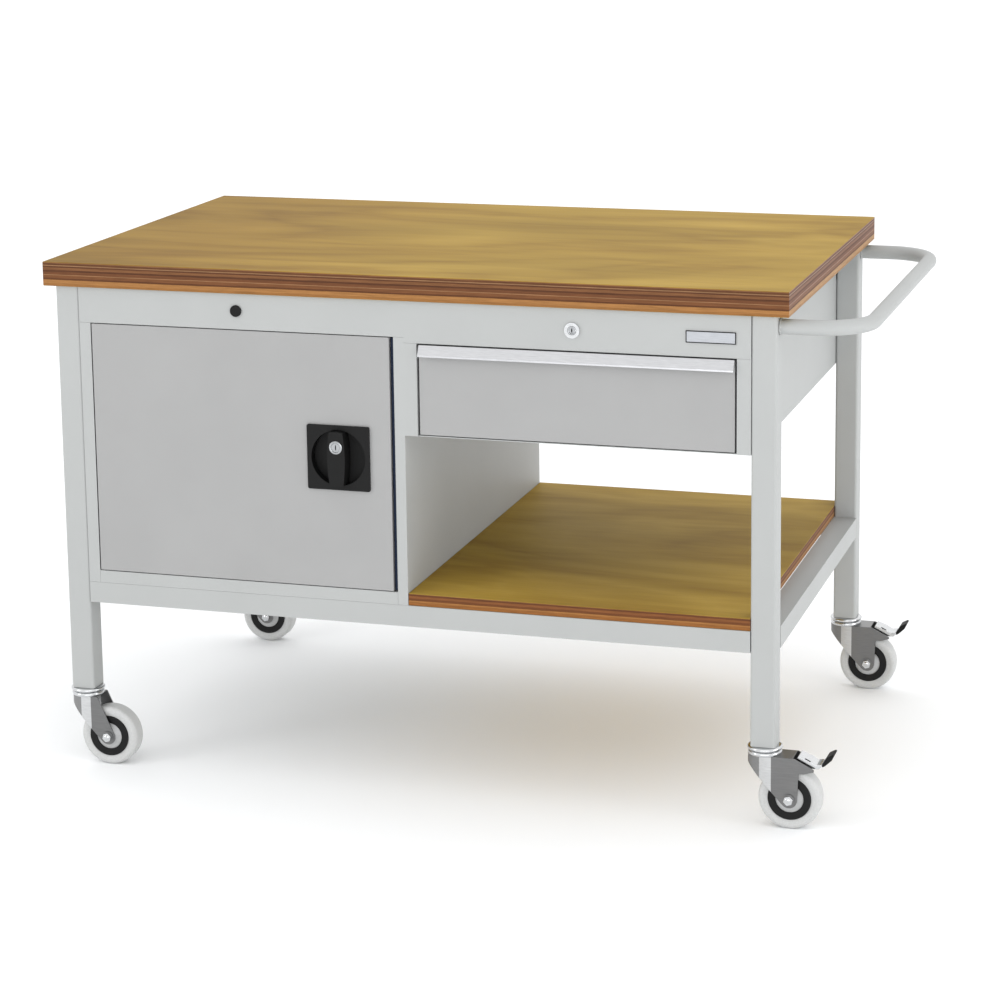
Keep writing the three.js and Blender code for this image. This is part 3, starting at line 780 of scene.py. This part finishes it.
# ---------------------------------------------------------------- small fittings
def plate_edge_shade():
    """A thin black square frame round the blank name plate's edge: a painted shade for its recessed border.
    """
    low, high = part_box("name_plate")
    rim = 1.1 * MM
    overlap = -0.3 * MM
    front = low.y - 0.4 * MM
    loops = []
    for inset, y in ((overlap, high.y), (overlap, front), (rim, front), (rim, low.y + 0.2 * MM)):
        x0, x1, z0, z1 = low.x + inset, high.x - inset, low.z + inset, high.z - inset
        loops.append([(x0, y, z0), (x1, y, z0), (x1, y, z1), (x0, y, z1)])
    points = [point for loop in loops for point in loop]
    faces = []
    for ring in range(4):
        following = (ring + 1) % 4
        for corner in range(4):
            after = (corner + 1) % 4
            faces.append([
                ring * 4 + corner, ring * 4 + after, following * 4 + after, following * 4 + corner,
            ])
    mesh = mesh_of("name_plate_edge_shade", points, faces)
    with_outward_normals(mesh)
    obj = new_object("name_plate_edge_shade", mesh, "bench")
    soften(obj, 0.15 * MM)
    finish_with(obj, RING_BLACK)


# A lock's face from its middle out: share of the radius, and depth below the rim in mm.
LOCK_STEPS = (
    (0.0, 0.9), (0.60, 0.9), (0.62, 1.3), (0.68, 1.3), (0.72, 0.25),
    (0.80, 0.0), (0.90, 0.05), (0.97, 0.35), (1.0, 1.0),
)


def lock_face(name, node, body, radius, slot_height):
    """A turned lock face: a rounded rim, a groove, a slightly sunk plug and a near-black patch on it, a
    painted shade for its key way.
    """
    low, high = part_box(node)
    centre = (low + high) / 2
    front, back = low.y - centre.y, high.y - centre.y
    profile = [(radius * share, front + depth * MM) for share, depth in LOCK_STEPS]
    profile += [(radius, back), (0.0, back)]
    face = lathe(f"{name}_face", profile, centre, "Y", body, 64)
    finish_with(face, CYLINDER_FACE)
    outline = [(x * MM, z * slot_height) for x, z in arc(0, 0, 1, 0, 330, 11)]
    span = (front + 0.8 * MM, front + 1.6 * MM)
    way = prism(f"{name}_key_way_shade", outline, span, centre, body)
    finish_with(way, SLOT_SHADE)
    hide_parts(node)


def door_gap_shade():
    """A dark navy strip behind the gap at the door's free edge: a painted shadow for that gap."""
    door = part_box("door_panel")
    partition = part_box("middle_partition")
    low_x, high_x = door[1].x + 1.6 * MM, door[1].x + 7.2 * MM
    across = (partition[0].y + 4 * MM, partition[0].y + 16 * MM)
    low_z, high_z = door[0].z + 0.5 * MM, door[1].z - 0.5 * MM
    outline = [(low_x, low_z), (high_x, low_z), (high_x, high_z), (low_x, high_z)]
    shade_strip = prism("door_gap_shade", outline, across, Vector((0, 0, 0)), "bench", 1.0 * MM)
    finish_with(shade_strip, GAP_SHADE_NAVY)


plate_edge_shade()
door_gap_shade()
lock_face("latch", "latch_key_cylinder", "latch_key", 11 * MM, 4.6 * MM)
lock_face("drawer_lock", "drawer_lock_cylinder", "drawer_lock", 7 * MM, 3.6 * MM)


# ---------------------------------------------------------------- floor, light, camera
FLOOR_HALF = 90
SKY_BANDS = ((0.04, 0.66), (0.34, 1.0))  # height in the sky, and tone
SKY_STRENGTH = 1.24


def floor():
    work = bmesh.new()
    bmesh.ops.create_grid(work, x_segments=1, y_segments=1, size=FLOOR_HALF)
    mesh = bpy.data.meshes.new("studio_floor")
    work.to_mesh(mesh)
    work.free()
    obj = bpy.data.objects.new("studio_floor", mesh)
    bpy.context.scene.collection.objects.link(obj)
    shader = Shader("studio_floor", roughness=1.0, color=(0.965, 0.975, 0.985))
    shader.specular(0)
    finish_with(obj, shader.material)


def area_light(name, place, target, size, energy):
    data = bpy.data.lights.new(name, "AREA")
    data.shape = "RECTANGLE"
    data.size, data.size_y = size
    data.energy = energy
    obj = bpy.data.objects.new(name, data)
    obj.location = place
    obj.rotation_euler = (Vector(target) - Vector(place)).to_track_quat("-Z", "Y").to_euler()
    bpy.context.scene.collection.objects.link(obj)


def world():
    """A white studio sky over a darker band at eye level, which gives bright metal its contrast."""
    sky = bpy.data.worlds.new("studio")
    sky.use_nodes = True
    tree = sky.node_tree
    place = tree.nodes.new("ShaderNodeTexCoord")
    split = tree.nodes.new("ShaderNodeSeparateXYZ")
    ramp = tree.nodes.new("ShaderNodeValToRGB")
    tree.links.new(place.outputs["Generated"], split.inputs[0])
    tree.links.new(split.outputs["Z"], ramp.inputs["Fac"])
    for element, (height, tone) in zip(ramp.color_ramp.elements, SKY_BANDS):
        element.position = height
        element.color = (tone, tone, tone, 1)
    shader = tree.nodes["Background"]
    tree.links.new(ramp.outputs["Color"], shader.inputs["Color"])
    shader.inputs["Strength"].default_value = SKY_STRENGTH
    bpy.context.scene.world = sky
    bpy.context.scene.view_settings.view_transform = "Standard"


def camera():
    """A long lens from the front right, looking slightly down."""
    place = Vector((1.3690, -4.4790, 1.6106))
    yaw, pitch, roll = 0.2936, 0.1862, -0.0116
    level = math.cos(pitch)
    ahead = Vector((-math.sin(yaw) * level, math.cos(yaw) * level, -math.sin(pitch)))
    across = Vector((math.cos(yaw), math.sin(yaw), 0))
    above = across.cross(ahead)
    right = across * math.cos(roll) + above * math.sin(roll)
    up = above * math.cos(roll) - across * math.sin(roll)
    data = bpy.data.cameras.new("camera")
    data.sensor_width = 36
    data.lens = 100.98
    data.shift_x = -0.0184
    data.shift_y = -0.1854
    data.clip_end = 100
    obj = bpy.data.objects.new("camera", data)
    turn = Matrix((right, up, -ahead)).transposed().to_4x4()
    obj.matrix_world = Matrix.Translation(place) @ turn
    bpy.context.scene.collection.objects.link(obj)
    bpy.context.scene.camera = obj


floor()
world()
area_light("left_tall", (-3.0, -2.6, 1.4), (0, 0, 0.4), (0.9, 2.6), 18)
area_light("low_front", (1.0, -3.6, 0.55), (0.2, 0, 0.35), (3.2, 0.9), 22)
area_light("right_low", (3.4, -0.6, 0.8), (0.4, 0, 0.4), (1.6, 1.2), 20)
camera()
